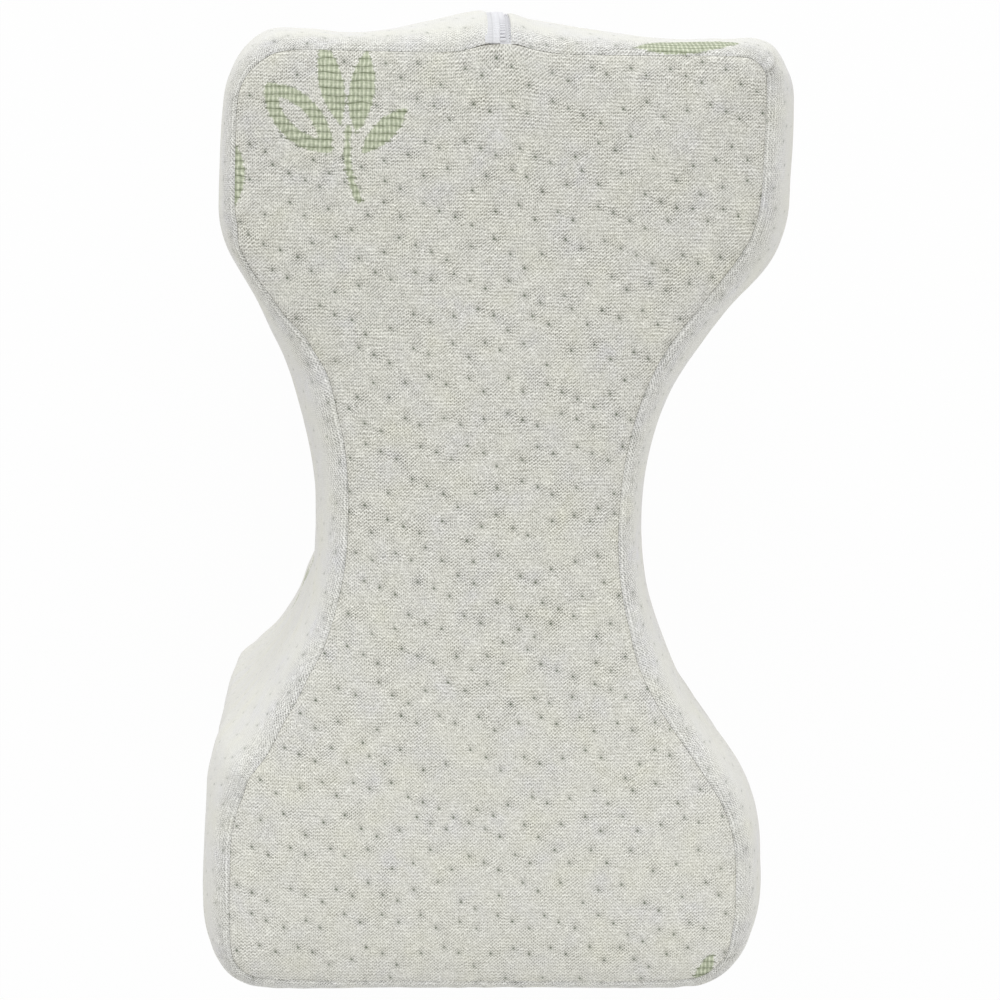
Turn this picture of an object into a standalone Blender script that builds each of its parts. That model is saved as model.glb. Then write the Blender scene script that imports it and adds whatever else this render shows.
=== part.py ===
# Knee pillow: an hourglass of foam in a knitted cover, lying on its back with its face up.
# X runs across the face, Y along it towards the zip, and Z up out of it.
import bpy
import bmesh
import math

mm = 0.001

# Driving sizes
depth = 200 * mm
seam_drop = 4.5 * mm
cloth_thickness = 2.5 * mm
clearance = 0.3 * mm
wall_roll_depth = 30 * mm

# How far the seam lies from the middle of the face on each side
waist = {
    "right": {"half_width": 33.0 * mm, "radius": 94 * mm, "roll": 8.7 * mm},
    "left": {"half_width": 35.8 * mm, "radius": 96 * mm, "roll": 9.2 * mm},
}
end = {
    "top": {"half_length": 119.1 * mm, "roll": 6.3 * mm},
    "bottom": {"half_length": 119.4 * mm, "roll": 5.8 * mm},
}
lobes = {
    ("top", "right"): {
        "half_width": 68.4 * mm, "corner": 6.2 * mm, "shoulder": 30 * mm, "slant": 40.4, "roll": 10.7 * mm,
    },
    ("bottom", "right"): {
        "half_width": 65.9 * mm, "corner": 12.7 * mm, "shoulder": 38 * mm, "slant": 34.2, "roll": 10.0 * mm,
    },
    ("bottom", "left"): {
        "half_width": 65.2 * mm, "corner": 9.0 * mm, "shoulder": 12 * mm, "slant": 42.0, "roll": 8.9 * mm,
    },
    ("top", "left"): {
        "half_width": 65.4 * mm, "corner": 15.0 * mm, "shoulder": 25 * mm, "slant": 32.5, "roll": 5.2 * mm,
    },
}

# How far the panels rise above the seam, by distance in from it
crown = [
    {"inset": 0.0 * mm, "front": -0.9 * mm, "back": -0.9 * mm},
    {"inset": 1.2 * mm, "front": 0.2 * mm, "back": 0.4 * mm},
    {"inset": 4.0 * mm, "front": 1.5 * mm, "back": 2.2 * mm},
    {"inset": 9.0 * mm, "front": 2.6 * mm, "back": 3.8 * mm},
    {"inset": 17.0 * mm, "front": 3.5 * mm, "back": seam_drop},
    {"inset": 32.0 * mm, "front": 4.2 * mm, "back": seam_drop},
    {"inset": 50.0 * mm, "front": seam_drop, "back": seam_drop},
]

# Depths below the seam at which the wall has a ring, down to its middle
wall_height = depth - 2 * seam_drop
wall_steps = [0.0, 1 * mm, 3 * mm, 7 * mm, 13 * mm, 21 * mm, wall_roll_depth, 62 * mm]

# The zip runs down the middle of the top wall and lifts the cloth into a ridge
zip_x = 0.8 * mm
ridge = {
    "seam": {"height": 2.8 * mm, "left": 7.5 * mm, "right": 9.5 * mm},
    "wall": {"height": 6.0 * mm, "left": 22 * mm, "right": 26 * mm},
}
slot_half_width = 4.1 * mm
slot_depth = 2.0 * mm
lip_height = 0.7 * mm
tape = {"outer": 3.8 * mm, "inner": 0.2 * mm, "low": -1.7 * mm, "high": -0.9 * mm}
coil = {"outer": 1.75 * mm, "inner": 0.2 * mm, "low": -0.6 * mm, "high": 0.6 * mm, "round": 0.4 * mm}
slider = {"height": 42 * mm, "half_width": 3.3 * mm, "half_length": 4.6 * mm}
slider |= {"low": -0.6 * mm, "high": 2.0 * mm}
channel = {"half_width": 2.1 * mm, "high": 0.9 * mm}
bridge = {"half_width": 0.7 * mm, "half_length": 2.6 * mm, "wall": 0.9 * mm}
bridge |= {"under": 3.2 * mm, "high": 4.0 * mm}
pull = {"half_width": 2.4 * mm, "start": -0.4 * mm, "end": 19 * mm, "low": 2.3 * mm, "high": 2.9 * mm}
eye = {"half_width": 1.3 * mm, "start": 0.4 * mm, "end": 3.4 * mm}

looks = {
    "knitted_cover": {"colour": (0.71, 0.70, 0.62), "roughness": 0.95, "metallic": 0.0},
    "face_cloth": {"colour": (0.66, 0.65, 0.60), "roughness": 0.95, "metallic": 0.0},
    "zip_tape": {"colour": (0.78, 0.78, 0.80), "roughness": 0.8, "metallic": 0.0},
    "zip_coil": {"colour": (0.82, 0.82, 0.85), "roughness": 0.35, "metallic": 0.0},
    "zip_metal": {"colour": (0.80, 0.80, 0.82), "roughness": 0.4, "metallic": 0.0},
}


# Scene set-up
def clear_scene():
    for thing in list(bpy.data.objects):
        bpy.data.objects.remove(thing, do_unlink=True)


def new_collection(name):
    collection = bpy.data.collections.new(name)
    bpy.context.scene.collection.children.link(collection)
    return collection


def material(name, look):
    made = bpy.data.materials.new(name)
    made.use_nodes = True
    shader = made.node_tree.nodes["Principled BSDF"]
    shader.inputs["Base Color"].default_value = (*looks[look]["colour"], 1.0)
    shader.inputs["Roughness"].default_value = looks[look]["roughness"]
    shader.inputs["Metallic"].default_value = looks[look]["metallic"]
    return made


# The outline of the face
def bump(x, shape):
    width = shape["left"] if x < zip_x else shape["right"]
    return shape["height"] * math.exp(-(((x - zip_x) / width) ** 2))


def outline_point(x, y, normal_x, normal_y, roll, in_slot=False, lip=0.0):
    return {"x": x, "y": y, "nx": normal_x, "ny": normal_y, "roll": roll, "slot": in_slot, "lip": lip}


def side_roll(x, lobe, side):
    narrow = waist[side]["half_width"]
    share = (x - narrow) / (lobe["half_width"] - narrow)
    share = min(max(share, 0.0), 1.0)
    return waist[side]["roll"] + (lobe["roll"] - waist[side]["roll"]) * share


def quarter(which, side):
    # From the corner at the end, down the lobe's side, over the shoulder and slant, to the waist
    lobe = lobes[(which, side)]
    mirror_x = 1 if side == "right" else -1
    mirror_y = 1 if which == "top" else -1
    slant = math.radians(lobe["slant"])
    half_width = lobe["half_width"]
    corner = lobe["corner"]
    shoulder = lobe["shoulder"]
    waist_radius = waist[side]["radius"]
    waist_width = waist[side]["half_width"]
    slant_run = (half_width - waist_width) - (shoulder + waist_radius) * (1 - math.cos(slant))
    slant_length = slant_run / math.sin(slant)
    shoulder_y = (shoulder + waist_radius) * math.sin(slant) + slant_length * math.cos(slant)
    half_length = end[which]["half_length"]
    points = []

    def add(x, y, across, along, roll):
        place = (x * mirror_x, y * mirror_y)
        outward = (across * mirror_x, along * mirror_y)
        points.append(outline_point(*place, *outward, roll))

    for step in range(5):
        turn = math.radians(90 - 22.5 * step)
        upward = math.sin(turn)
        x = half_width - corner + corner * math.cos(turn)
        y = half_length - corner + corner * upward
        add(x, y, math.cos(turn), upward, lobe["roll"] * (1 - upward) + end[which]["roll"] * upward)
    side_length = half_length - corner - shoulder_y
    for share in (0.35, 0.7):
        add(half_width, half_length - corner - side_length * share, 1.0, 0.0, lobe["roll"])
    for step in range(6):
        turn = slant * step / 5
        x = half_width - shoulder + shoulder * math.cos(turn)
        y = shoulder_y - shoulder * math.sin(turn)
        add(x, y, math.cos(turn), -math.sin(turn), side_roll(x, lobe, side))
    for share in (0.33, 0.67):
        x = half_width - shoulder * (1 - math.cos(slant)) - slant_length * math.sin(slant) * share
        y = shoulder_y - shoulder * math.sin(slant) - slant_length * math.cos(slant) * share
        add(x, y, math.cos(slant), -math.sin(slant), side_roll(x, lobe, side))
    for step in range(6):
        turn = slant * (6 - step) / 6
        x = waist_width + waist_radius * (1 - math.cos(turn))
        y = waist_radius * math.sin(turn)
        add(x, y, math.cos(turn), -math.sin(turn), side_roll(x, lobe, side))
    return points


def waist_point(side):
    mirror = 1 if side == "right" else -1
    return outline_point(waist[side]["half_width"] * mirror, 0.0, mirror, 0.0, waist[side]["roll"])


def end_edge(which):
    # The straight end between two corners, from left to right, with the zip's slot in the top one
    left = -(lobes[(which, "left")]["half_width"] - lobes[(which, "left")]["corner"])
    right = lobes[(which, "right")]["half_width"] - lobes[(which, "right")]["corner"]
    direction = 1 if which == "top" else -1
    y = end[which]["half_length"] * direction
    roll = end[which]["roll"]
    if which == "bottom":
        shares = [0.12, 0.3, 0.5, 0.7, 0.88]
        return [outline_point(left + (right - left) * share, y, 0.0, direction, roll) for share in shares]
    points = []
    for reach in (40, 28, 20, 14, 10, 7):
        points.append(outline_point(zip_x - reach * mm, y, 0.0, 1.0, roll))
    edge = slot_half_width + 0.1 * mm
    inside = slot_half_width
    points.append(outline_point(zip_x - edge - 0.9 * mm, y, 0.0, 1.0, roll, lip=lip_height))
    points.append(outline_point(zip_x - edge, y, 0.0, 1.0, roll))
    points.append(outline_point(zip_x - inside, y, 0.0, 1.0, roll, in_slot=True))
    points.append(outline_point(zip_x + inside, y, 0.0, 1.0, roll, in_slot=True))
    points.append(outline_point(zip_x + edge, y, 0.0, 1.0, roll))
    points.append(outline_point(zip_x + edge + 0.9 * mm, y, 0.0, 1.0, roll, lip=lip_height))
    for reach in (7, 10, 14, 20, 28, 40):
        points.append(outline_point(zip_x + reach * mm, y, 0.0, 1.0, roll))
    for point in points:
        point["y"] += bump(point["x"], ridge["seam"])
    return points


def face_outline():
    points = quarter("top", "right")
    points.append(waist_point("right"))
    points += reversed(quarter("bottom", "right"))
    points += reversed(end_edge("bottom"))
    points += quarter("bottom", "left")
    points.append(waist_point("left"))
    points += reversed(quarter("top", "left"))
    points += end_edge("top")
    return points


# The wall of the boxing
def fullness(below_seam):
    reach = min(below_seam / wall_roll_depth, 1.0)
    return math.sqrt(max(1 - (1 - reach) ** 2, 0.0))


def wall_offset(point, below_seam):
    full = fullness(below_seam)
    extra = 0.0
    if point["ny"] > 0.99:
        extra = (bump(point["x"], ridge["wall"]) - bump(point["x"], ridge["seam"])) * full
    return clearance + point["roll"] * full + extra


def wall_normal(point, below_seam):
    # The wall's own outward direction, as a share outwards and a share towards the nearer face
    step = 0.05 * mm
    before = max(below_seam - step, 0.0)
    out = wall_offset(point, below_seam + step) - wall_offset(point, before)
    along = below_seam + step - before
    length = math.hypot(out, along)
    return along / length, out / length


def wall_point(point, below_seam, upper, lift=0.0):
    outward, towards_face = wall_normal(point, below_seam)
    offset = wall_offset(point, below_seam) + lift * outward
    below = below_seam - lift * towards_face
    z = depth - seam_drop - below if upper else seam_drop + below
    return (point["x"] + point["nx"] * offset, point["y"] + point["ny"] * offset, z)


def wall_levels():
    levels = [(step, True) for step in wall_steps]
    levels.append((wall_height / 2, True))
    levels += [(step, False) for step in reversed(wall_steps)]
    return levels


def surface_lift(point):
    return -slot_depth if point["slot"] else point["lip"]


# Panels and caps, as rings drawn in towards the middle of the face
def inset_point(point, inset):
    widest = lobes[("top", "right")]["half_width"]
    longest = end["top"]["half_length"]
    return point["x"] * (1 - inset / widest), point["y"] * (1 - inset / longest)


def face_height(rise, face):
    return depth - seam_drop + rise if face == "front" else seam_drop - rise


def underside(row, face):
    return max(row[face] - cloth_thickness, -cloth_thickness)


def panel_rings(outline, face, lower):
    rings = []
    for row in crown:
        rise = underside(row, face) - lower if lower is not None else row[face]
        ring = [(*inset_point(point, row["inset"]), face_height(rise, face)) for point in outline]
        rings.append(ring)
    return rings


def middle_height(face, lower):
    last = crown[-1]
    rise = underside(last, face) - lower if lower is not None else last[face]
    return face_height(rise, face)


# Building meshes
def loft(name, rings, start_middle, end_middle, look, collection):
    # Rings of equal count joined side by side, each end closed by a fan or by one face
    mesh = bmesh.new()
    rows = [[mesh.verts.new(place) for place in ring] for ring in rings]
    count = len(rings[0])
    for row, following in zip(rows, rows[1:]):
        for index in range(count):
            after = (index + 1) % count
            mesh.faces.new((row[index], row[after], following[after], following[index]))
    for row, middle in ((rows[0], start_middle), (rows[-1], end_middle)):
        if middle is None:
            mesh.faces.new(row)
            continue
        centre = mesh.verts.new(middle)
        for index in range(count):
            mesh.faces.new((row[index], row[(index + 1) % count], centre))
    bmesh.ops.recalc_face_normals(mesh, faces=mesh.faces)
    return finish_mesh(name, mesh, look, collection)


def finish_mesh(name, mesh, look, collection):
    data = bpy.data.meshes.new(name)
    mesh.to_mesh(data)
    mesh.free()
    data.shade_smooth()
    data.set_sharp_from_angle(angle=math.radians(50))
    made = bpy.data.objects.new(name, data)
    data.materials.append(material(name + "_material", look))
    collection.objects.link(made)
    return made


def block(name, low, high, look, collection):
    # An upright box between two corners
    mesh = bmesh.new()
    bmesh.ops.create_cube(mesh, size=1.0)
    for vertex in mesh.verts:
        for axis in range(3):
            share = vertex.co[axis] + 0.5
            vertex.co[axis] = low[axis] + (high[axis] - low[axis]) * share
    return finish_mesh(name, mesh, look, collection)


def boolean(target, tool, operation):
    cut = target.modifiers.new(tool.name, "BOOLEAN")
    cut.operation = operation
    cut.solver = "EXACT"
    cut.object = tool
    tool.hide_render = True
    tool.display_type = "WIRE"


# The pieces
def build_boxing(outline, parts):
    rings = panel_rings(outline, "front", clearance)[:0:-1]
    step = -cloth_thickness - clearance
    rims = {}
    for face in ("front", "back"):
        rims[face] = []
        for point in outline:
            x, y, _ = wall_point(point, 0.0, True)
            rims[face].append((x, y, face_height(step, face)))
    rings.append(rims["front"])
    for below, upper in wall_levels():
        rings.append([wall_point(point, below, upper, surface_lift(point)) for point in outline])
    rings.append(rims["back"])
    rings += panel_rings(outline, "back", clearance)[1:]
    top = (0, 0, middle_height("front", clearance))
    bottom = (0, 0, middle_height("back", clearance))
    return loft("filled_boxing", rings, top, bottom, "knitted_cover", parts)


def build_panel(outline, face, parts):
    outer = panel_rings(outline, face, None)
    inner = panel_rings(outline, face, 0.0)
    rings = outer[::-1] + inner
    top = (0, 0, middle_height(face, None))
    bottom = (0, 0, middle_height(face, 0.0))
    return loft(face + "_panel", rings, top, bottom, "face_cloth", parts)


def zip_strip(name, section, look, parts):
    # A section in shares of width and height, carried down the wall along the zip
    y = end["top"]["half_length"] + bump(zip_x, ridge["seam"])
    line = outline_point(zip_x, y, 0.0, 1.0, end["top"]["roll"])
    rings = []
    for below, upper in wall_levels():
        ring = []
        for across, height in section:
            x, y, z = wall_point(line, below, upper, height)
            ring.append((x + across, y, z))
        rings.append(ring)
    return loft(name, rings, None, None, look, parts)


def build_zip(parts, cutters):
    made = []
    for side, mirror in (("left", -1), ("right", 1)):
        inner = tape["inner"] * mirror
        outer = tape["outer"] * mirror
        section = [(inner, tape["low"]), (outer, tape["low"]), (outer, tape["high"]), (inner, tape["high"])]
        made.append(zip_strip("zip_tape_" + side, section, "zip_tape", parts))
        inner = coil["inner"] * mirror
        outer = coil["outer"] * mirror
        bevel = coil["round"]
        section = [
            (inner, coil["low"]),
            (outer, coil["low"]),
            (outer, coil["high"] - bevel),
            (outer - bevel * mirror, coil["high"]),
            (inner + bevel * mirror, coil["high"]),
            (inner, coil["high"] - bevel),
        ]
        made.append(zip_strip("zip_coil_" + side, section, "zip_coil", parts))
    made += build_slider(parts, cutters)
    return made


def build_slider(parts, cutters):
    # Where the wall is upright, so X is across, Y outwards and Z along the zip
    y = end["top"]["half_length"] + bump(zip_x, ridge["seam"])
    line = outline_point(zip_x, y, 0.0, 1.0, end["top"]["roll"])
    _, surface, height = wall_point(line, slider["height"] - seam_drop, False)

    def box(name, half_width, low, high, start, finish, look, collection):
        near = (zip_x - half_width, surface + low, height + start)
        far = (zip_x + half_width, surface + high, height + finish)
        return block(name, near, far, look, collection)

    length = slider["half_length"]
    body = box("zip_slider", slider["half_width"], slider["low"], slider["high"],
               -length, length, "zip_metal", parts)
    rounding = body.modifiers.new("rounding", "BEVEL")
    rounding.width = 0.5 * mm
    rounding.segments = 2
    hollow = box("slider_channel", channel["half_width"], slider["low"] - mm, channel["high"],
                 -2 * length, 2 * length, "zip_metal", cutters)
    boolean(body, hollow, "DIFFERENCE")
    reach = bridge["half_length"]
    arch = box("slider_bridge", bridge["half_width"], slider["high"] - 0.3 * mm, bridge["high"],
               -reach, reach, "zip_metal", cutters)
    boolean(body, arch, "UNION")
    under = reach - bridge["wall"]
    window = box("bridge_window", 2 * bridge["half_width"], slider["high"], bridge["under"],
                 -under, under, "zip_metal", cutters)
    boolean(body, window, "DIFFERENCE")
    tab = box("zip_pull", pull["half_width"], pull["low"], pull["high"],
              pull["start"], pull["end"], "zip_metal", parts)
    hole = box("pull_eye", eye["half_width"], pull["low"] - mm, pull["high"] + mm,
               eye["start"], eye["end"], "zip_metal", cutters)
    boolean(tab, hole, "DIFFERENCE")
    return [body, tab]


def centre_on_floor(pieces):
    # Moves everything so that the whole part's box is centred over the origin
    bpy.context.view_layer.update()
    corners = [vertex.co for piece in pieces for vertex in piece.data.vertices]
    middle_x = (min(corner.x for corner in corners) + max(corner.x for corner in corners)) / 2
    outermost = max(corner.y for corner in corners) + bridge["high"] - pull["high"]
    middle_y = (min(corner.y for corner in corners) + outermost) / 2
    for thing in bpy.data.objects:
        thing.location = (-middle_x, -middle_y, 0.0)
    print("moved by", round(-middle_x / mm, 2), round(-middle_y / mm, 2), "mm")


def build():
    clear_scene()
    parts = new_collection("knee_pillow")
    cutters = new_collection("cutters")
    outline = face_outline()
    pieces = [build_boxing(outline, parts)]
    pieces.append(build_panel(outline, "front", parts))
    pieces.append(build_panel(outline, "back", parts))
    pieces += build_zip(parts, cutters)
    centre_on_floor(pieces)


build()
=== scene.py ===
# Knee pillow in a knitted cover, lying on its back and seen from above its face.
import bpy
import math
import numpy as np
from mathutils import Matrix, Vector
from mathutils.kdtree import KDTree


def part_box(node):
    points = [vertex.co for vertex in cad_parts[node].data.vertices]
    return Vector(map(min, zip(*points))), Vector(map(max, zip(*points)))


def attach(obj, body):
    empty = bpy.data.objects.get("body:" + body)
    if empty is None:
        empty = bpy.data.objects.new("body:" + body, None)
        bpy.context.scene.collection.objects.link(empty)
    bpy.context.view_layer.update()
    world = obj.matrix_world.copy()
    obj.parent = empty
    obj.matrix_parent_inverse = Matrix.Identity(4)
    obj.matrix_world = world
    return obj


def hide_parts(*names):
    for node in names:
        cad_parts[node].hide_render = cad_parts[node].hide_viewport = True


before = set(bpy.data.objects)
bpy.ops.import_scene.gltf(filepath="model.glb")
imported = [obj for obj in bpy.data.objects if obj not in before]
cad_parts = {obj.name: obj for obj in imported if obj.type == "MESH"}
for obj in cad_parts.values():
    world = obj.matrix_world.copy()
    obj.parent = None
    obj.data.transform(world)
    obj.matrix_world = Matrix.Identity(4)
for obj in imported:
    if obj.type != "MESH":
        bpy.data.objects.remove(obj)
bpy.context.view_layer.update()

mm = 0.001

# Places that the frame gives
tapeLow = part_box("zip_tape_left")[0]
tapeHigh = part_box("zip_tape_right")[1]
panelLow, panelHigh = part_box("front_panel")
place = {
    "zipX": (tapeLow.x + tapeHigh.x) / 2,
    "middleX": (panelLow.x + panelHigh.x) / 2,
    "middleY": (panelLow.y + panelHigh.y) / 2,
    "top": panelHigh.z,
    "underPanel": panelLow.z,
    "seamDrop": 4.5 * mm,
    "rollDepth": 30 * mm,
    "gap": 0.3 * mm,
    "topWall": 100 * mm,
    "sameLevel": 0.04 * mm,
    "splineSteps": 24,
}
# Half widths across the zip, where the frame's rings have the slot and its folded edges
slotEdges = {"slot": 4.15 * mm, "foldInner": 4.6 * mm, "foldOuter": 5.8 * mm}
place["seam"] = place["top"] - place["seamDrop"]
place["wallHeight"] = place["top"] - 2 * place["seamDrop"]


# Helpers
def deselectAll():
    if bpy.context.mode != "OBJECT":
        bpy.ops.object.mode_set(mode="OBJECT")
    bpy.ops.object.select_all(action="DESELECT")


def makeActive(piece):
    deselectAll()
    piece.select_set(True)
    bpy.context.view_layer.objects.active = piece


def newGrid(name, columns, rows):
    # A flat rectangle of cloth with so many points across and along
    deselectAll()
    bpy.ops.mesh.primitive_grid_add(
        x_subdivisions=columns - 1, y_subdivisions=rows - 1, size=1, calc_uvs=False
    )
    piece = bpy.context.active_object
    piece.name = name
    piece.data.name = name
    return piece


def setPoints(piece, points):
    piece.data.vertices.foreach_set("co", np.asarray(points, np.float32).ravel())
    piece.data.update()


def getPoints(piece):
    points = np.zeros(len(piece.data.vertices) * 3, np.float32)
    piece.data.vertices.foreach_get("co", points)
    return points.reshape(-1, 3).astype(float)


def applyModifiers(piece):
    makeActive(piece)
    for modifier in list(piece.modifiers):
        bpy.ops.object.modifier_apply(modifier=modifier.name)


def smoothStep(low, high, value):
    share = np.clip((value - low) / (high - low), 0, 1)
    return share * share * (3 - 2 * share)


def bell(value, width):
    # One at zero, falling away over the width
    return np.exp(-((value / width) ** 2))


# The seam's line, read from the frame
def nodePoints(name):
    points = np.array([v.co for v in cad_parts[name].data.vertices], float)
    return np.unique(np.round(points, 6), axis=0)


def sortedRing(points):
    # Clockwise from the zip, seen from above
    angle = np.arctan2(points[:, 0] - place["zipX"] * 0.5, points[:, 1] - place["middleY"])
    angle = np.where(angle < np.arctan2(place["zipX"] * 0.5, 120 * mm), angle + 2 * math.pi, angle)
    return points[np.argsort(angle)]


def ringAt(points, height):
    # The boxing's points at one height, without the slot and its folded edges
    ring = points[np.abs(points[:, 2] - height) < place["sameLevel"]][:, :2]
    off = np.abs(ring[:, 0] - place["zipX"])
    onFold = (off > slotEdges["foldInner"]) & (off < slotEdges["foldOuter"])
    nearZip = (ring[:, 1] > place["topWall"]) & ((off < slotEdges["slot"]) | onFold)
    return sortedRing(ring[~nearZip])


def splineLoop(points, steps):
    # A closed centripetal curve through the points, so many steps to each stretch
    count = len(points)
    result = []
    share = np.linspace(0, 1, steps, endpoint=False)[:, None]
    for index in range(count):
        p0, p1, p2, p3 = (points[(index + k) % count] for k in (-1, 0, 1, 2))
        t0 = 0
        t1 = t0 + np.sqrt(np.linalg.norm((p1 - p0)[:2]))
        t2 = t1 + np.sqrt(np.linalg.norm((p2 - p1)[:2]))
        t3 = t2 + np.sqrt(np.linalg.norm((p3 - p2)[:2]))
        t = t1 + (t2 - t1) * share
        a1 = (t1 - t) / (t1 - t0) * p0 + (t - t0) / (t1 - t0) * p1
        a2 = (t2 - t) / (t2 - t1) * p1 + (t - t1) / (t2 - t1) * p2
        a3 = (t3 - t) / (t3 - t2) * p2 + (t - t2) / (t3 - t2) * p3
        b1 = (t2 - t) / (t2 - t0) * a1 + (t - t0) / (t2 - t0) * a2
        b2 = (t3 - t) / (t3 - t1) * a2 + (t - t1) / (t3 - t1) * a3
        result.append((t2 - t) / (t2 - t1) * b1 + (t - t1) / (t2 - t1) * b2)
    return np.vstack(result)


def readOutline():
    body = nodePoints("filled_boxing")
    seamRing = ringAt(body, place["seam"])
    wallRing = ringAt(body, place["seam"] - place["rollDepth"])
    if len(seamRing) != len(wallRing):
        raise RuntimeError("the two rings of the boxing don't match")
    both = np.hstack([seamRing, wallRing])
    dense = splineLoop(both, place["splineSteps"])
    seamLine, wallLine = dense[:, :2], dense[:, 2:]
    step = np.linalg.norm(np.roll(wallLine, -1, 0) - wallLine, axis=1)
    along = np.concatenate([[0], np.cumsum(step)])
    return {"seam": seamLine, "wall": wallLine, "along": along[:-1], "length": along[-1]}


outline = readOutline()
print("outline read, its wall is", round(outline["length"] / mm), "mm round")


def loopValue(values, along):
    # A value of the closed outline at each length along it
    x = np.concatenate([outline["along"], [outline["length"]]])
    wrapped = np.mod(along, outline["length"])
    closed = np.vstack([values, values[:1]])
    return np.stack([np.interp(wrapped, x, closed[:, k]) for k in range(values.shape[1])], 1)


def outwardNormals(line):
    tangent = np.roll(line, -2, 0) - np.roll(line, 2, 0)
    tangent /= np.linalg.norm(tangent, axis=1)[:, None] + 1e-12
    return np.stack([-tangent[:, 1], tangent[:, 0]], 1)


outline["normal"] = outwardNormals(outline["wall"])
if (outline["normal"] * (outline["wall"] - [place["middleX"], place["middleY"]])).sum() < 0:
    outline["normal"] *= -1

# How the sewn cover departs from the frame, outwards in millimetres, by length clockwise from the zip:
# at the seam, where the wall is full, and what the wall adds far below the face
coverTrim = {
    "seam": [
        (0, 0), (60, 0.4), (115, -0.4), (133, 0.1), (152, 0.9), (172, -0.2), (203, 0.4), (231, -0.1),
        (242, -0.9), (270, -0.3), (315, 0.1), (325, -0.5), (358, -0.2), (405, -0.6), (490, 0), (515, 0),
        (534, -2.5), (548, -1.0), (560, 0.8), (570, 1.1), (580, 0.4), (608, 0.1), (632, -0.9),
        (643, -1.8), (651, -1.0), (662, 1.1), (673, 1.9), (680, 1.6), (688, 0), (711, -0.5), (765, 0),
    ],
    "wall": [
        (0, -0.3), (10, -1.1), (32, -0.4), (48, -0.6), (59, 0), (71, 1.9), (80, 0.1), (92, -1.1),
        (128, 0), (144, -0.8), (160, -0.1), (176, -0.7), (224, -0.3), (240, 0.2), (262, -1.0),
        (310, -0.2), (327, -1.0), (346, 0.3), (396, -0.9), (430, -0.6), (466, 0.8), (474, 0.5),
        (488, -1.1), (533, -1.1), (544, 0.6), (567, -0.1), (584, -1.4), (612, -0.7), (638, 0.5),
        (656, 0), (668, -0.8), (690, 0), (724, -0.7), (744, 1.5), (754, 0.2), (765, -0.6), (785, 0.4),
        (793, 0.6),
    ],
    "deep": [(0, 0), (515, 0), (523, 1.3), (538, 1.6), (546, -0.3), (556, -1.4), (568, -1.4), (578, 0)],
}


def zipLength():
    # Where along the closed outline the zip's middle is
    top = outline["wall"][:, 1] > place["topWall"]
    away = np.where(top, np.abs(outline["wall"][:, 0] - place["zipX"]), 1.0)
    return outline["along"][int(np.argmin(away))]


def trimAt(name):
    # A smooth curve through the table, round the closed outline
    first = coverTrim[name][0]
    table = np.array(coverTrim[name] + [(outline["length"] / mm + first[0], first[1])])
    along = np.mod(outline["along"] - zipLength(), outline["length"]) / mm
    index = np.clip(np.searchsorted(table[:, 0], along, side="right") - 1, 0, len(table) - 2)
    share = (along - table[index, 0]) / (table[index + 1, 0] - table[index, 0])
    share = share * share * (3 - 2 * share)
    return (table[index, 1] + (table[index + 1, 1] - table[index, 1]) * share) * mm


panelLine = outline["seam"] + outline["normal"] * (trimAt("seam") - place["gap"])[:, None]
outline["wall"] = outline["wall"] + outline["normal"] * trimAt("wall")[:, None]
outline["deep"] = trimAt("deep")[:, None]
outline["seam"] = panelLine + outline["normal"] * 0.04 * mm


# Tucks, the small dark stitches that pin the two layers of cloth together
tuckLook = {
    "across": 1.99 * mm,
    "along": 1.74 * mm,
    "lines": 5,
    "wander": 3,
    "closest": 3.5 * mm,
    "jitter": 0.15 * mm,
    "dimple": 0.10 * mm,
    "dimpleRadius": 1.7 * mm,
    "pin": 0.10 * mm,
    "pinRadius": 0.7 * mm,
}
# The ways from one tuck to the next, in steps across and up, and how often each is taken
tuckWays = [((2, -1), 3), ((2, 2), 3), ((3, 2), 3), ((3, 1), 3), ((2, -2), 2), ((3, -3), 2)]


def tuckPlaces(low, high, seed):
    # Lines of tucks that wander up and down by whole courses and wales of the knit
    look = tuckLook
    random = np.random.default_rng(seed)
    pitch = np.array([look["across"], look["along"]])
    start = np.array(low) - 3 * pitch
    lines = int((high[1] - low[1]) / look["along"] / look["lines"]) + 3
    columns = int((high[0] - low[0]) / look["across"]) + 6
    places = []
    before = np.full((1, 2), -1.0)
    for line in range(lines):
        base = np.array([0, line * look["lines"]])
        step = random.integers((0, -1), (3, 2))
        own = []
        while step[0] < columns:
            own.append(start + (step + base) * pitch)
            near = np.vstack([before, own[:-1]]) if len(own) > 1 else before
            choices = []
            for way, often in tuckWays:
                following = step + way
                room = np.linalg.norm(near - start - (following + base) * pitch, axis=1).min()
                allowed = abs(following[1]) <= look["wander"] and room > look["closest"]
                choices.append((often * random.random() if allowed else room - 10, way))
            step = step + max(choices)[1]
        before = np.array(own)
        places += own
    return np.array(places) + random.normal(0, look["jitter"], (len(places), 2))


def nearestTucks(tucks, cloth):
    tree = KDTree(len(tucks))
    for index, spot in enumerate(tucks):
        tree.insert((spot[0], spot[1], 0.0), index)
    tree.balance()
    found = [tree.find((spot[0], spot[1], 0.0))[1] for spot in cloth]
    return tucks[np.array(found)]


def tuckDepth(tucks, cloth):
    away = np.linalg.norm(cloth - nearestTucks(tucks, cloth), axis=1)
    look = tuckLook
    return look["dimple"] * bell(away, look["dimpleRadius"]) + look["pin"] * bell(away, look["pinRadius"])


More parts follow.
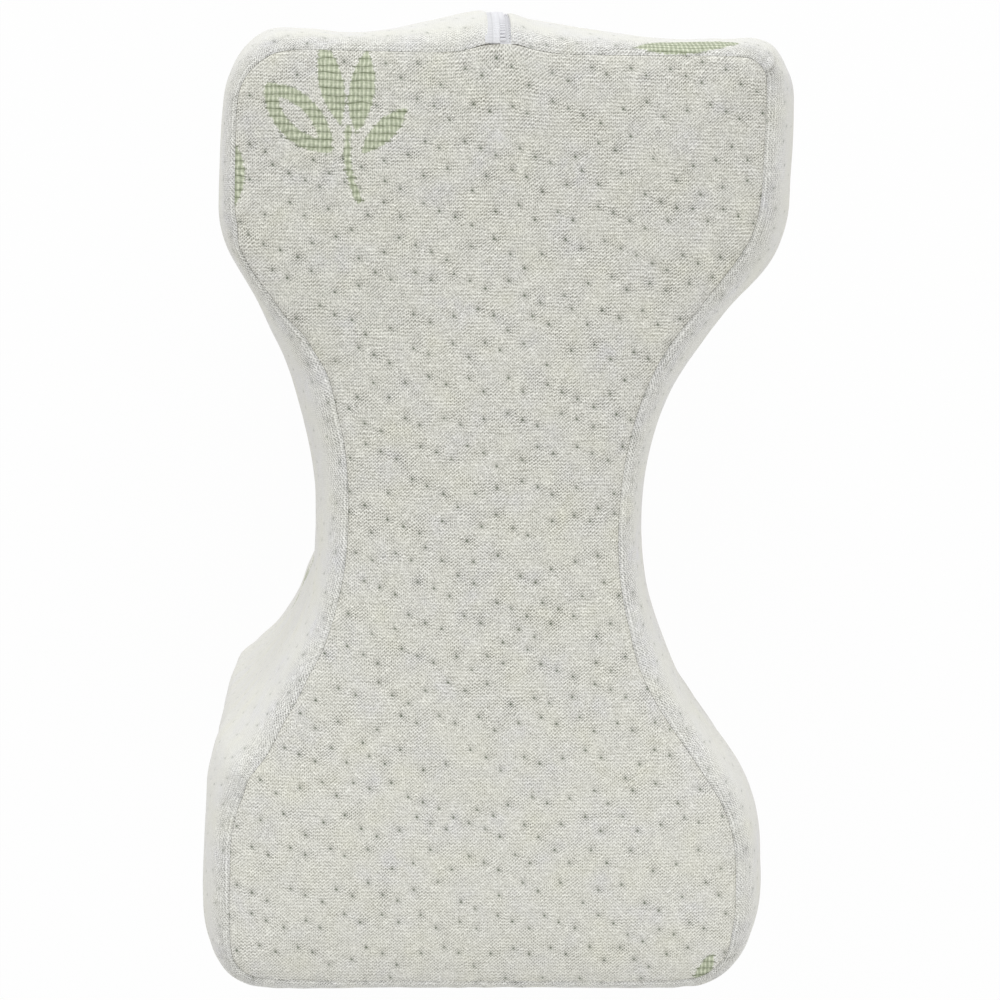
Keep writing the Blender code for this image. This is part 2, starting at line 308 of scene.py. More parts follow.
# Leaf sprigs, a common motif knitted in green
def leafDistance(cloth, base, tip, width, band):
    # Negative inside a leaf with two pointed ends, in metres; a band leaves its middle open
    middle = (base + tip) / 2
    length = np.linalg.norm(tip - base)
    axis = (tip - base) / length
    side = np.array([-axis[1], axis[0]])
    half = width / 2
    reach = (length * length / 4 - half * half) / (2 * half)
    local = np.stack([(cloth - middle) @ axis, (cloth - middle) @ side], 1)
    left = np.hypot(local[:, 0], local[:, 1] - reach) - reach - half
    right = np.hypot(local[:, 0], local[:, 1] + reach) - reach - half
    blade = np.maximum(left, right)
    return np.maximum(blade, -blade - band) if band else blade


def stemDistance(cloth, start, end, width):
    share = np.linspace(0, 1, 25)[:, None]
    side = np.array([-(end - start)[1], (end - start)[0]])
    line = start + (end - start) * share + side * 0.08 * np.sin(share * math.pi)
    away = np.full(len(cloth), 1.0)
    for spot in line:
        away = np.minimum(away, np.linalg.norm(cloth - spot, axis=1))
    return away - width / 2


sprigShapes = {
    # Leaves: base, tip, width, and band where the middle is open; then the stem, all in millimetres
    "spray": {
        "leaves": [
            ((-3.2, 4.2), (-21.5, 20.0), 11.0, 3.3), ((-1.6, 11.2), (-8.0, 31.5), 6.0, 0),
            ((2.4, 9.6), (3.4, 30.5), 6.4, 0), ((4.2, 4.8), (14.5, 17.0), 5.2, 0),
        ],
        "stem": [((4.5, -7.0), (0.4, 10.5), 1.7)],
    },
    "pair": {
        "leaves": [((0.8, 3.0), (13.5, 9.5), 6.2, 0), ((-0.6, 8.0), (-13.0, 15.5), 6.2, 0)],
        "stem": [((0, -6), (0, 13), 1.6)],
    },
    "leaf": {"leaves": [((0, 0), (0, 22), 6.8, 0)], "stem": []},
    "slim": {"leaves": [((0, 0), (0, 15), 4.6, 0)], "stem": []},
}


def leafField(cloth, motifs):
    farthest = 3 * mm
    near = np.full(len(cloth), farthest)
    for name, x, y, degrees, size in motifs:
        turn = math.radians(degrees)
        c, s = math.cos(turn), math.sin(turn)
        turned = np.array([[c, s], [-s, c]]) * size * mm
        start = np.array([x, y]) * mm
        for base, tip, width, band in sprigShapes[name]["leaves"]:
            ends = (start + np.array(base) @ turned, start + np.array(tip) @ turned)
            near = np.minimum(near, leafDistance(cloth, *ends, width * size * mm, band * size * mm))
        for base, tip, width in sprigShapes[name]["stem"]:
            ends = (start + np.array(base) @ turned, start + np.array(tip) @ turned)
            near = np.minimum(near, stemDistance(cloth, *ends, width * size * mm))
    return np.clip(near, -farthest, farthest)


def layerCloth(piece, cloth, tucks, motifs):
    # The cloth's own lengths, the way to the nearest tuck, and how far off a leaf is
    mesh = piece.data
    corners = np.zeros(len(mesh.loops), np.int32)
    mesh.loops.foreach_get("vertex_index", corners)
    starts = np.zeros(len(mesh.polygons), np.int32)
    totals = np.zeros(len(mesh.polygons), np.int32)
    mesh.polygons.foreach_get("loop_start", starts)
    mesh.polygons.foreach_get("loop_total", totals)
    cornerCloth = cloth[corners]
    faceOf = np.repeat(np.arange(len(starts)), totals)
    middle = np.zeros((len(starts), 2))
    np.add.at(middle, faceOf, cornerCloth)
    middle /= totals[:, None]
    tuckOf = nearestTucks(tucks, middle)[faceOf]
    layer = mesh.uv_layers.new(name="cloth")
    layer.data.foreach_set("uv", cornerCloth.astype(np.float32).ravel())
    layer = mesh.uv_layers.new(name="tuck")
    layer.data.foreach_set("uv", (cornerCloth - tuckOf).astype(np.float32).ravel())
    leaf = mesh.attributes.new("leaf", "FLOAT", "POINT")
    leaf.data.foreach_set("value", (leafField(cloth, motifs) / mm).astype(np.float32))


def softNoise(x, y, seed, wavelength):
    # Slow waves in several directions, about from -1 to 1
    random = np.random.default_rng(seed)
    total = np.zeros(len(x))
    for _ in range(7):
        turn = random.uniform(0, math.pi)
        length = wavelength * random.uniform(0.7, 1.6)
        phase = random.uniform(0, 2 * math.pi)
        total += np.sin((x * math.cos(turn) + y * math.sin(turn)) * 2 * math.pi / length + phase)
    return total / 4


# The filled boxing: a strip of cloth wrapped round the fill, its ends folded in beside the zip
boxing = {
    "columnStep": 1.42 * mm,
    "rowStep": 1.5 * mm,
    "seamRow": 0.35 * mm,
    "waves": 0.35 * mm,
    "pucker": 0.22 * mm,
    "puckerReach": 5 * mm,
    "puckerLength": 5.5 * mm,
    "wavesLength": 55 * mm,
    "wavesFade": (4 * mm, 30 * mm),
    "plainFromZip": (5 * mm, 12 * mm),
    "deepFade": (40 * mm, 150 * mm),
    "gather": 0.32 * mm,
    "gatherPitch": 2.3 * mm,
    "gatherFall": 3.4 * mm,
    "gatherLean": 0.35,
    "gatherFades": [(0.3 * mm, 1.6 * mm), (4.2 * mm, 6.5 * mm), (9 * mm, 15 * mm)],
    "ridge": 0.16 * mm,
    "ridgeAt": 0.6 * mm,
    "groove": 0.13 * mm,
    "grooveAt": 1.9 * mm,
    "weltWidth": 0.5 * mm,
    "pleat": 0.75 * mm,
    "pleatAt": (67.3, 111.4),
    "pleatLean": 0.75,
    "pleatFall": 4.6 * mm,
    "pleatStart": 0.6 * mm,
    "pleatLap": 2.6 * mm,
    "pleatUnder": 0.9 * mm,
    "pleatHollow": -0.35,
    "pleatStep": 0.4 * mm,
    "tuckShare": 0.75,
    "edgeBand": 4.0 * mm,
    # The strip's edges under the panels: scale and rise of each ring
    "turnedIn": [(0.93, 2.2 * mm), (0.86, 1.1 * mm), (0.75, 0.7 * mm), (0.4, 0.4 * mm)],
}
# From the middle of the slot to where the wall is plain: how far across, and how high over the wall
foldSection = [
    (0.0, -2.0), (2.0, -2.0), (4.1, -2.0), (4.1, -1.4), (4.05, -0.95), (3.5, -0.78), (3.1, -0.62),
    (2.88, -0.4), (2.8, -0.15), (2.84, 0.08), (3.0, 0.26), (3.35, 0.38), (3.9, 0.42), (4.7, 0.38),
    (5.7, 0.26), (7.0, 0.1), (8.5, 0.0),
]


def boxingColumns():
    # Each column of the strip: its length along the wall, and its lift where the cloth is folded
    zipAt = zipLength()
    last = foldSection[-1][0] * mm
    plainCount = int((outline["length"] - 2 * last) / boxing["columnStep"])
    plain = np.linspace(last, outline["length"] - last, plainCount + 1)[1:-1]
    # Closer together beside the corner's fold
    pleatAt = pleatLength()
    plain = plain[(plain < pleatAt - 7.8 * mm) | (plain > pleatAt + 3.2 * mm)]
    plain = np.sort(np.concatenate([plain, pleatAt + np.arange(-18, 8) * boxing["pleatStep"]]))
    columns = [(across * mm, lift * mm) for across, lift in foldSection]
    columns += [(length, 0.0) for length in plain]
    columns += [(outline["length"] - across * mm, lift * mm) for across, lift in reversed(foldSection)]
    columns = np.array(columns)
    columns[:, 0] += zipAt
    return columns, zipAt


def boxingRows():
    # Depths below the front seam, close together beside each seam
    half = [0.0]
    step = boxing["seamRow"]
    while half[-1] < place["wallHeight"] / 2:
        half.append(half[-1] + step)
        step = min(step * 1.12, boxing["rowStep"])
    half = np.array(half) * (place["wallHeight"] / 2 / half[-1])
    return np.concatenate([half, place["wallHeight"] - half[::-1][1:]])


def fullness(below):
    reach = np.clip(below / place["rollDepth"], 0, 1)
    return np.sqrt(np.maximum(1 - (1 - reach) ** 2, 0))


def wallSurface(along, below):
    # Points and outward directions of the plain wall, for arrays of equal length
    nearer = np.minimum(below, place["wallHeight"] - below)
    full = fullness(nearer)[:, None]
    seam = loopValue(outline["seam"], along)
    wall = loopValue(outline["wall"], along)
    normal = loopValue(outline["normal"], along)
    deep = loopValue(outline["deep"], along) * smoothStep(*boxing["deepFade"], below)[:, None]
    flat = seam + (wall - seam + normal * deep) * full
    height = place["seam"] - below
    roll = np.linalg.norm(wall - seam, axis=1)
    safe = np.maximum(nearer, 0.05 * mm)
    reach = np.clip(safe / place["rollDepth"], 0, 1)
    slope = roll * (1 - reach) / (place["rollDepth"] * fullness(safe))
    upward = np.where(below < place["wallHeight"] / 2, slope, -slope)
    direction = np.column_stack([normal, upward])
    direction /= np.linalg.norm(direction, axis=1)[:, None]
    return np.column_stack([flat, height]), direction


def boxingShape(columns, rows, zipAt):
    columnCount, rowCount = len(columns), len(rows)
    below = np.repeat(rows, columnCount)
    along = np.tile(columns[:, 0], rowCount)
    lift = np.tile(columns[:, 1], rowCount)
    nearer = np.minimum(below, place["wallHeight"] - below)
    points, direction = wallSurface(along, below)
    shaped = points.reshape(rowCount, columnCount, 3)
    steps = np.linalg.norm(np.diff(shaped, axis=0), axis=2)
    drop = np.vstack([np.zeros(columnCount), np.cumsum(steps, axis=0)]).ravel()
    cloth = np.column_stack([along - zipAt, drop])
    away = np.minimum(np.abs(cloth[:, 0]), np.abs(outline["length"] - cloth[:, 0]))
    plain = smoothStep(*boxing["plainFromZip"], away)
    waves = softNoise(along, below, 5, boxing["wavesLength"])
    relief = boxing["waves"] * waves * smoothStep(*boxing["wavesFade"], nearer) * plain
    gather = softNoise(along, below * 0.2, 9, boxing["puckerLength"])
    fade = np.exp(-nearer / boxing["puckerReach"]) * smoothStep(0, 1.5 * mm, nearer)
    relief += boxing["pucker"] * gather * fade * plain
    ridge = boxing["ridge"] * bell(nearer - boxing["ridgeAt"], boxing["weltWidth"])
    groove = boxing["groove"] * bell(nearer - boxing["grooveAt"], boxing["weltWidth"])
    relief += (ridge - groove * (0.8 + 0.5 * gather)) * plain
    relief += besideZip(cloth[:, 0], below) + cornerPleat(cloth[:, 0], below)
    return points, direction, cloth, lift, relief, plain


def besideZip(across, below):
    # Short gathers on both sides of the slot, where the strip's ends are caught in the seam
    reach = outline["length"]
    across = np.where(across > reach / 2, across - reach, across)
    away = np.abs(across)
    start, inner, outer = boxing["gatherFades"]
    depth = boxing["gather"] * np.exp(-below / boxing["gatherFall"]) * smoothStep(*start, below)
    band = smoothStep(*inner, away) * (1 - smoothStep(*outer, away))
    turns = (away + below * boxing["gatherLean"]) / boxing["gatherPitch"]
    return depth * band * np.sin(turns * 2 * math.pi)


def pleatLength():
    # How far round from the zip the corner's fold starts
    off = np.linalg.norm(panelLine - np.array(boxing["pleatAt"]) * mm, axis=1)
    return np.mod(outline["along"][int(np.argmin(off))] - zipLength(), outline["length"])


def cornerPleat(across, below):
    # A small fold of spare cloth that laps over the wall below it, outwards from the seam's corner
    side = across - pleatLength() + below * boxing["pleatLean"]
    fall = np.exp(-below / boxing["pleatFall"]) * smoothStep(0, boxing["pleatStart"], below)
    lap = bell(side, boxing["pleatLap"])
    under = boxing["pleatHollow"] * bell(side, boxing["pleatUnder"])
    return boxing["pleat"] * np.where(side < 0, lap, under) * fall


def buildBoxing():
    columns, zipAt = boxingColumns()
    rows = boxingRows()
    piece = newGrid("pillowBoxing", len(columns), len(rows))
    points, direction, cloth, lift, relief, plain = boxingShape(columns, rows, zipAt)
    tucks = tuckPlaces((0, 0), (outline["length"], place["wallHeight"] + 12 * mm), 21)
    shown = plain * smoothStep(1.0 * mm, 3 * mm, cloth[:, 1])
    relief -= tuckDepth(tucks, cloth) * shown * boxing["tuckShare"]
    setPoints(piece, points + direction * (lift + relief)[:, None])
    layerCloth(piece, cloth, tucks, boxingMotifs)
    closeBoxing(piece)
    return piece


def closeBoxing(piece):
    # Sews the strip's ends together, then turns its two long edges in under the panels
    makeActive(piece)
    bpy.ops.object.mode_set(mode="EDIT")
    bpy.ops.mesh.select_all(action="SELECT")
    bpy.ops.mesh.remove_doubles(threshold=0.002 * mm)
    bpy.ops.object.mode_set(mode="OBJECT")
    below = place["seam"] - place["underPanel"] + place["gap"]
    for edge, direction in ((place["seam"], 1), (place["seamDrop"], -1)):
        points = getPoints(piece)
        onEdge = boundaryMask(piece) & (np.abs(points[:, 2] - edge) < boxing["edgeBand"])
        turnIn(piece, onEdge, edge - below * direction, boxing["turnedIn"], direction)
    fixNormals(piece)


def turnIn(piece, rim, level, rings, direction):
    # Draws a rim down to one level, then inwards ring by ring, and closes the last
    centre = (place["middleX"], place["middleY"], 0.0)
    selectPoints(piece, rim)
    bpy.ops.object.mode_set(mode="EDIT")
    bpy.ops.mesh.extrude_edges_move()
    bpy.ops.transform.resize(value=(1, 1, 0), center_override=(0, 0, level))
    for scale, rise in rings:
        bpy.ops.mesh.extrude_edges_move()
        bpy.ops.transform.resize(value=(scale, scale, 1), center_override=centre)
        bpy.ops.transform.translate(value=(0, 0, rise * direction))
    bpy.ops.mesh.edge_face_add()
    bpy.ops.object.mode_set(mode="OBJECT")


def edgeUses(mesh):
    # The two ends of each edge, and how many faces use it
    edges = np.zeros(len(mesh.edges) * 2, np.int32)
    mesh.edges.foreach_get("vertices", edges)
    edges = edges.reshape(-1, 2)
    cornerEdges = np.zeros(len(mesh.loops), np.int32)
    mesh.loops.foreach_get("edge_index", cornerEdges)
    return edges, np.bincount(cornerEdges, minlength=len(edges))


def boundaryMask(piece):
    edges, uses = edgeUses(piece.data)
    mask = np.zeros(len(piece.data.vertices), bool)
    mask[edges[uses == 1].ravel()] = True
    return mask


def selectPoints(piece, mask):
    makeActive(piece)
    bpy.context.tool_settings.mesh_select_mode = (False, True, False)
    mesh = piece.data
    edges, uses = edgeUses(mesh)
    boundary = boundaryMask(piece) & mask
    chosen = (uses == 1) & boundary[edges].all(axis=1)
    mesh.polygons.foreach_set("select", np.zeros(len(mesh.polygons), bool))
    mesh.vertices.foreach_set("select", boundary)
    mesh.edges.foreach_set("select", chosen)


def fixNormals(piece):
    makeActive(piece)
    bpy.ops.object.mode_set(mode="EDIT")
    bpy.ops.mesh.select_all(action="SELECT")
    bpy.ops.mesh.normals_make_consistent(inside=False)
    bpy.ops.mesh.select_all(action="DESELECT")
    bpy.ops.object.mode_set(mode="OBJECT")
    bpy.ops.object.shade_smooth_by_angle(angle=math.radians(60))


# The front and back panels: flat sheets cut to the seam's line, crowned over the fill
panels = {
    "front": {"columnStep": 0.64 * mm, "rowStep": 0.66 * mm, "seed": 3},
    "back": {"columnStep": 0.95 * mm, "rowStep": 1.0 * mm, "seed": 8},
    "rim": [0.0, 0.25 * mm, 0.55 * mm, 0.95 * mm, 1.4 * mm, 1.9 * mm, 2.5 * mm],
    "waves": 0.12 * mm,
    "wavesLength": 60 * mm,
    "wavesFade": (3 * mm, 25 * mm),
    "pucker": 0.16 * mm,
    "puckerReach": 3.5 * mm,
    "puckerLength": 5 * mm,
    "tuckFade": (1.2 * mm, 3 * mm),
    "zipLift": 2.4 * mm,
    "zipLiftReach": 9 * mm,
    "zipLiftFrom": 120 * mm,
    # The underside, from the rim inwards: scale and rise of each ring
    "underside": [
        (0.985, 0.25 * mm), (0.955, 1.1 * mm), (0.91, 0.9 * mm), (0.85, 0.8 * mm), (0.7, 0.7 * mm),
        (0.4, 0.15 * mm),
    ],
}
# The crown over the fill, in millimetres: a long rise and, on the face, a short one at the seam
crown = {"height": 4.5, "long": 3.9, "longReach": 13, "short": 0.68, "shortReach": 0.8}
backCrown = {"height": 4.5, "fall": 5.4, "reach": 17, "power": 2.6}


def cornerIndex(signX, signY):
    # The middle of a corner's arc: the point of the outline furthest out along the diagonal
    local = panelLine - [place["middleX"], place["middleY"]]
    return int(np.argmax(local[:, 0] * signX + local[:, 1] * signY))


def panelSides():
    line = panelLine
    count = len(line)
    upperRight, lowerRight = cornerIndex(1, 1), cornerIndex(1, -1)
    lowerLeft, upperLeft = cornerIndex(-1, -1), cornerIndex(-1, 1)

    def stretch(first, last):
        steps = (last - first) % count
        return line[(first + np.arange(steps + 1)) % count]

    return {
        "right": stretch(upperRight, lowerRight)[::-1],
        "bottom": stretch(lowerRight, lowerLeft)[::-1],
        "left": stretch(lowerLeft, upperLeft),
        "top": stretch(upperLeft, upperRight),
    }


def spacedShares(length, step):
    # Shares from 0 to 1, closer together beside both ends
    rim = np.array(panels["rim"]) / length
    inner = np.linspace(rim[-1], 1 - rim[-1], int((length - 2 * panels["rim"][-1]) / step) + 1)
    return np.concatenate([rim, inner[1:-1], 1 - rim[::-1]])


def sideAt(side, axis, values):
    # The other coordinate of a side where it crosses each value
    other = 1 - axis
    order = np.argsort(side[:, axis])
    return np.interp(values, side[order, axis], side[order, other])


def panelGrid(look):
    # Rows and columns of the flat cloth, drawn out to its four curved sides
    sides = panelSides()
    width = sides["top"][-1, 0] - sides["top"][0, 0]
    height = sides["left"][-1, 1] - sides["left"][0, 1]
    across = spacedShares(width, look["columnStep"])
    up = spacedShares(height, look["rowStep"])
    s, t = np.meshgrid(across, up)
    corners = {
        "ll": sides["left"][0], "ul": sides["left"][-1],
        "lr": sides["right"][0], "ur": sides["right"][-1],
    }
    bottomX = corners["ll"][0] + (corners["lr"][0] - corners["ll"][0]) * s
    topX = corners["ul"][0] + (corners["ur"][0] - corners["ul"][0]) * s
    leftY = corners["ll"][1] + (corners["ul"][1] - corners["ll"][1]) * t
    rightY = corners["lr"][1] + (corners["ur"][1] - corners["lr"][1]) * t
    bottomY = sideAt(sides["bottom"], 0, bottomX)
    topY = sideAt(sides["top"], 0, topX)
    leftX = sideAt(sides["left"], 1, leftY)
    rightX = sideAt(sides["right"], 1, rightY)

    def blend(ll, lr, ul, ur):
        return (1 - s) * (1 - t) * ll + s * (1 - t) * lr + (1 - s) * t * ul + s * t * ur

    x = (1 - t) * bottomX + t * topX + (1 - s) * leftX + s * rightX
    x -= blend(*(corners[k][0] for k in ("ll", "lr", "ul", "ur")))
    y = (1 - t) * bottomY + t * topY + (1 - s) * leftY + s * rightY
    y -= blend(*(corners[k][1] for k in ("ll", "lr", "ul", "ur")))
    return x, y


def insideSeam(x, y):
    # How far each point lies in from the seam
    tree = KDTree(len(panelLine) * 3)
    for part in range(3):
        line = panelLine + (np.roll(panelLine, -1, 0) - panelLine) * part / 3
        for index, spot in enumerate(line):
            tree.insert((spot[0], spot[1], 0.0), index)
    tree.balance()
    return np.array([tree.find((a, b, 0.0))[2] for a, b in zip(x, y)])


def crownRise(inside, face):
    inside = inside / mm
    if face == "front":
        fall = crown["long"] * np.exp(-inside / crown["longReach"])
        return (crown["height"] - fall - crown["short"] * np.exp(-inside / crown["shortReach"])) * mm
    flat = np.maximum(0, 1 - inside / backCrown["reach"])
    return (backCrown["height"] - backCrown["fall"] * flat ** backCrown["power"]) * mm


def buildPanel(face):
    look = panels[face]
    x, y = panelGrid(look)
    rowCount, columnCount = x.shape
    piece = newGrid(face + "Panel", columnCount, rowCount)
    x, y = x.ravel(), y.ravel()
    inside = insideSeam(x, y)
    rise = crownRise(inside, face)
    # The courses rise towards the zip
    zipLift = panels["zipLift"] * bell(x - place["zipX"], panels["zipLiftReach"])
    zipLift *= np.exp(-(place["middleY"] + panels["zipLiftFrom"] - y) / panels["zipLiftReach"])
    cloth = np.column_stack([x, y - zipLift])
    if face == "back":
        cloth[:, 0] *= -1
    tucks = tuckPlaces((-0.09, -0.15), (0.09, 0.15), look["seed"])
    waves = softNoise(x, y, look["seed"], panels["wavesLength"])
    relief = panels["waves"] * waves * smoothStep(*panels["wavesFade"], inside)
    gather = softNoise(x, y, look["seed"] + 1, panels["puckerLength"])
    fade = np.exp(-inside / panels["puckerReach"]) * smoothStep(0, 1 * mm, inside)
    relief += panels["pucker"] * gather * fade
    relief -= tuckDepth(tucks, cloth) * smoothStep(*panels["tuckFade"], inside)
    if face == "back":
        relief = np.where(inside > 14 * mm, np.minimum(relief, 0), relief * 0.5)
    direction = 1 if face == "front" else -1
    base = place["seam"] if face == "front" else place["seamDrop"]
    setPoints(piece, np.column_stack([x, y, base + direction * (rise + relief)]))
    layerCloth(piece, cloth, tucks, panelMotifs[face])
    closePanel(piece, face)
    return piece


def closePanel(piece, face):
    # Turns the rim down and closes the underside along the crown
    direction = 1 if face == "front" else -1
    level = place["underPanel"] if face == "front" else place["top"] - place["underPanel"]
    turnIn(piece, boundaryMask(piece), level, panels["underside"], direction)
    fixNormals(piece)


# Where the sprigs are: shape, x and y in millimetres of each cloth, degrees, size
panelMotifs = {
    "front": [
        ("spray", -40.5, 84, -4, 1.0), ("slim", -67.6, 75, 0, 1.0), ("slim", 53.2, -127.6, -24, 0.8),
    ],
    "back": [("spray", 34, 62, -150, 1.0), ("pair", -38, -84, 20, 1.0), ("leaf", 20, -20, 70, 1.0)],
}
boxingMotifs = [
    ("leaf", 34.5, 2.4, -80, 1.28), ("pair", 120, 125, 200, 1.0), ("spray", 250, 92, 75, 1.0),
    ("leaf", 330, 150, 10, 1.0), ("pair", 425, 96, -20, 1.0), ("spray", 585, 150, 150, 1.0),
    ("leaf", 655, 100, -60, 1.0), ("pair", 760, 125, 30, 1.0),
]

print("making the boxing")
pillowBoxing = buildBoxing()
print("making the panels")
frontPanel = buildPanel("front")
backPanel = buildPanel("back")
for piece in (pillowBoxing, frontPanel, backPanel):
    mesh = piece.data
    print(piece.name, sum(len(face.vertices) - 2 for face in mesh.polygons), "triangles")


# Materials
class Wire:
    # One value in a node tree, so that a formula reads as one
    def __init__(self, tree, socket):
        self.tree = tree
        self.socket = socket

    def step(self, operation, *others):
        node = self.tree.nodes.new("ShaderNodeMath")
        node.operation = operation
        for socket, value in zip(node.inputs, (self, *others)):
            if isinstance(value, Wire):
                self.tree.links.new(value.socket, socket)
            else:
                socket.default_value = value
        return Wire(self.tree, node.outputs[0])

    def __add__(self, other):
        return self.step("ADD", other)

    def __radd__(self, other):
        return self.step("ADD", other)

    def __sub__(self, other):
        return self.step("SUBTRACT", other)

    def __rsub__(self, other):
        return self.step("MULTIPLY", -1.0).step("ADD", other)

    def __mul__(self, other):
        return self.step("MULTIPLY", other)

    def __rmul__(self, other):
        return self.step("MULTIPLY", other)

    def floor(self):
        return self.step("FLOOR")

    def wave(self):
        # The cosine of so many turns
        return self.step("MULTIPLY", 2 * math.pi).step("COSINE")

    def bell(self, width):
        # One at zero, falling away over the width
        scaled = self.step("MULTIPLY", 1 / width)
        return scaled.step("MULTIPLY", scaled).step("MULTIPLY", -1.0).step("EXPONENT")

    def between(self, low, high):
        node = self.tree.nodes.new("ShaderNodeMapRange")
        node.interpolation_type = "SMOOTHSTEP"
        node.inputs["From Min"].default_value = low
        node.inputs["From Max"].default_value = high
        self.tree.links.new(self.socket, node.inputs["Value"])
        return Wire(self.tree, node.outputs["Result"])


def startMaterial(name):
    material = bpy.data.materials.new(name)
    material.use_nodes = True
    tree = material.node_tree
    return material, tree, tree.nodes["Principled BSDF"]


def lengths(tree, layer):
    # A UV layer in millimetres
    node = tree.nodes.new("ShaderNodeUVMap")
    node.uv_map = layer
    split = tree.nodes.new("ShaderNodeSeparateXYZ")
    tree.links.new(node.outputs["UV"], split.inputs[0])
    return Wire(tree, split.outputs["X"]) * 1000.0, Wire(tree, split.outputs["Y"]) * 1000.0


def joined(x, y, z=0.0):
    node = x.tree.nodes.new("ShaderNodeCombineXYZ")
    for socket, value in zip(node.inputs, (x, y, z)):
        if isinstance(value, Wire):
            x.tree.links.new(value.socket, socket)
        else:
            socket.default_value = value
    return node.outputs[0]


def noiseAt(x, y, wavelength, z=0.0, detail=1.0):
    # From about -1 to 1
    node = x.tree.nodes.new("ShaderNodeTexNoise")
    node.inputs["Scale"].default_value = 1 / wavelength
    node.inputs["Detail"].default_value = detail
    x.tree.links.new(joined(x, y, z), node.inputs["Vector"])
    return (Wire(x.tree, node.outputs["Fac"]) - 0.5) * (2.6 if detail else 1.95)


def plainNoise(x, y, wavelength, z=0.0):
    # Without finer detail, which keeps the render quick
    return noiseAt(x, y, wavelength, z, 0.0)


def speckAt(x, y, z=0.0):
    # A value of its own for each whole number, from 0 to 1
    node = x.tree.nodes.new("ShaderNodeTexWhiteNoise")
    node.noise_dimensions = "3D"
    x.tree.links.new(joined(x, y, z), node.inputs["Vector"])
    return Wire(x.tree, node.outputs["Value"])


def lengthOf(x, y):
    return (x * x + y * y).step("SQRT")


def attribute(tree, name):
    node = tree.nodes.new("ShaderNodeAttribute")
    node.attribute_name = name
    return Wire(tree, node.outputs["Fac"])


def mixed(tree, share, first, second):
    node = tree.nodes.new("ShaderNodeMix")
    node.data_type = "RGBA"
    node.clamp_factor = True
    tree.links.new(share.socket, node.inputs["Factor"])
    for socket, value in ((node.inputs["A"], first), (node.inputs["B"], second)):
        if isinstance(value, tuple):
            socket.default_value = (*value, 1.0)
        else:
            tree.links.new(value, socket)
    return node.outputs["Result"]


def shaded(tree, colour, factor):
    # A colour made lighter or darker by a factor
    node = tree.nodes.new("ShaderNodeVectorMath")
    node.operation = "SCALE"
    tree.links.new(colour, node.inputs[0])
    tree.links.new(factor.socket, node.inputs["Scale"])
    return node.outputs[0]


def raised(tree, colour, amount):
    # A colour with the same amount added to each channel
    node = tree.nodes.new("ShaderNodeVectorMath")
    node.operation = "ADD"
    tree.links.new(colour, node.inputs[0])
    tree.links.new(joined(amount, amount, amount), node.inputs[1])
    return node.outputs[0]


def addBump(tree, shader, height, distance):
    bump = tree.nodes.new("ShaderNodeBump")
    bump.inputs["Strength"].default_value = 1.0
    bump.inputs["Distance"].default_value = distance
    tree.links.new(height.socket, bump.inputs["Height"])
    tree.links.new(bump.outputs["Normal"], shader.inputs["Normal"])


def tinted(colour, tint):
    return tuple(value * share for value, share in zip(colour, tint))


knit = {
    "colour": (0.778, 0.764, 0.690),
    "warm": (0.788, 0.772, 0.645),
    "grey": (0.765, 0.752, 0.735),
    "tuckYarnAndShade": (0.15, 0.18, 0.12),
    "courses": 1.15,
    "wales": 1.03,
    "row": 0.108,
    "slash": 0.148,
    "back": 0.067,
    "double": 0.085,
    "uneven": 1.05,
    "tighter": 0.45,
    "fuzz": 0.28,
    "speckle": 0.15,
    "streak": 0.10,
    "sway": 0.24,
    "waver": 0.10,
    "pinch": 0.28,
    "pinchReach": 1.7,
    "tone": 0.5,
    "shift": 0.37,
    "bump": 0.13 * mm,
    "roughness": 0.92,
    "specular": 0.2,
    "sheen": 0.12,
    "sheenRoughness": 0.5,
}
# The dark of a tuck, in millimetres: its core, and two arms that lean away from it. The dark is partly the
# tuck's grey-green yarn and partly painted shade in its dimple, and the fan is painted shade above it
tuckShade = {
    "core": 0.31,
    "tail": {"way": (0.75, -0.5), "reach": (0.95, -0.6), "width": 0.17, "fade": 0.6, "dark": 0.5},
    "arm": {"way": (-0.25, 0.9), "reach": (-0.3, 1.0), "width": 0.19, "fade": 0.7, "dark": 0.42},
    "fan": 0.06,
}
leafLook = {
    "colour": (0.41, 0.45, 0.315),
    "pale": (0.80, 0.83, 0.65),
    "line": (0.19, 0.215, 0.13),
    "course": 1.85,
    "rib": 1.08,
    "edge": 0.16,
}


def stitchTone(u, v, plainU, plainV, lower):
    # Rows of small slanted loops: rows, both slants and the two legs of each loop, each uneven by itself
    look = knit
    row = v * look["courses"]
    column = u * look["wales"]

    def share(amount, wavelength, z, stretch=1.0):
        return (plainNoise(plainU * stretch, plainV, wavelength, z) * look["uneven"] + 1.0) * amount

    tone = row.wave() * share(look["row"], 4.2, 15.0, 0.6)
    slash = (row - column).wave() * share(look["slash"], 4.6, 16.0)
    back = (row + column).wave() * share(look["back"], 4.4, 17.0)
    legs = (column * 2.0).wave() * share(look["double"], 4.0, 18.0)
    if lower is not None:
        tone = tone * (1.0 - lower * 0.22)
        back = back * (lower * 0.55 + 1.0)
    return tone + slash - back + legs


def courseLine(course):
    # A thin line across the middle of each course of a leaf
    return (course - course.floor() - 0.5).bell(0.12)


def leaning(offU, offV, arm):
    # One arm of a tuck's dark, thinner and paler towards its end
    wayU, wayV = arm["way"]
    reachU, reachV = arm["reach"]
    share = (offU * wayU + offV * wayV).step("MAXIMUM", 0.0).step("MINIMUM", 1.0)
    away = lengthOf(offU - share * reachU, offV - share * reachV)
    return away.bell(arm["width"]) * (1.0 - share * arm["fade"]) * arm["dark"]


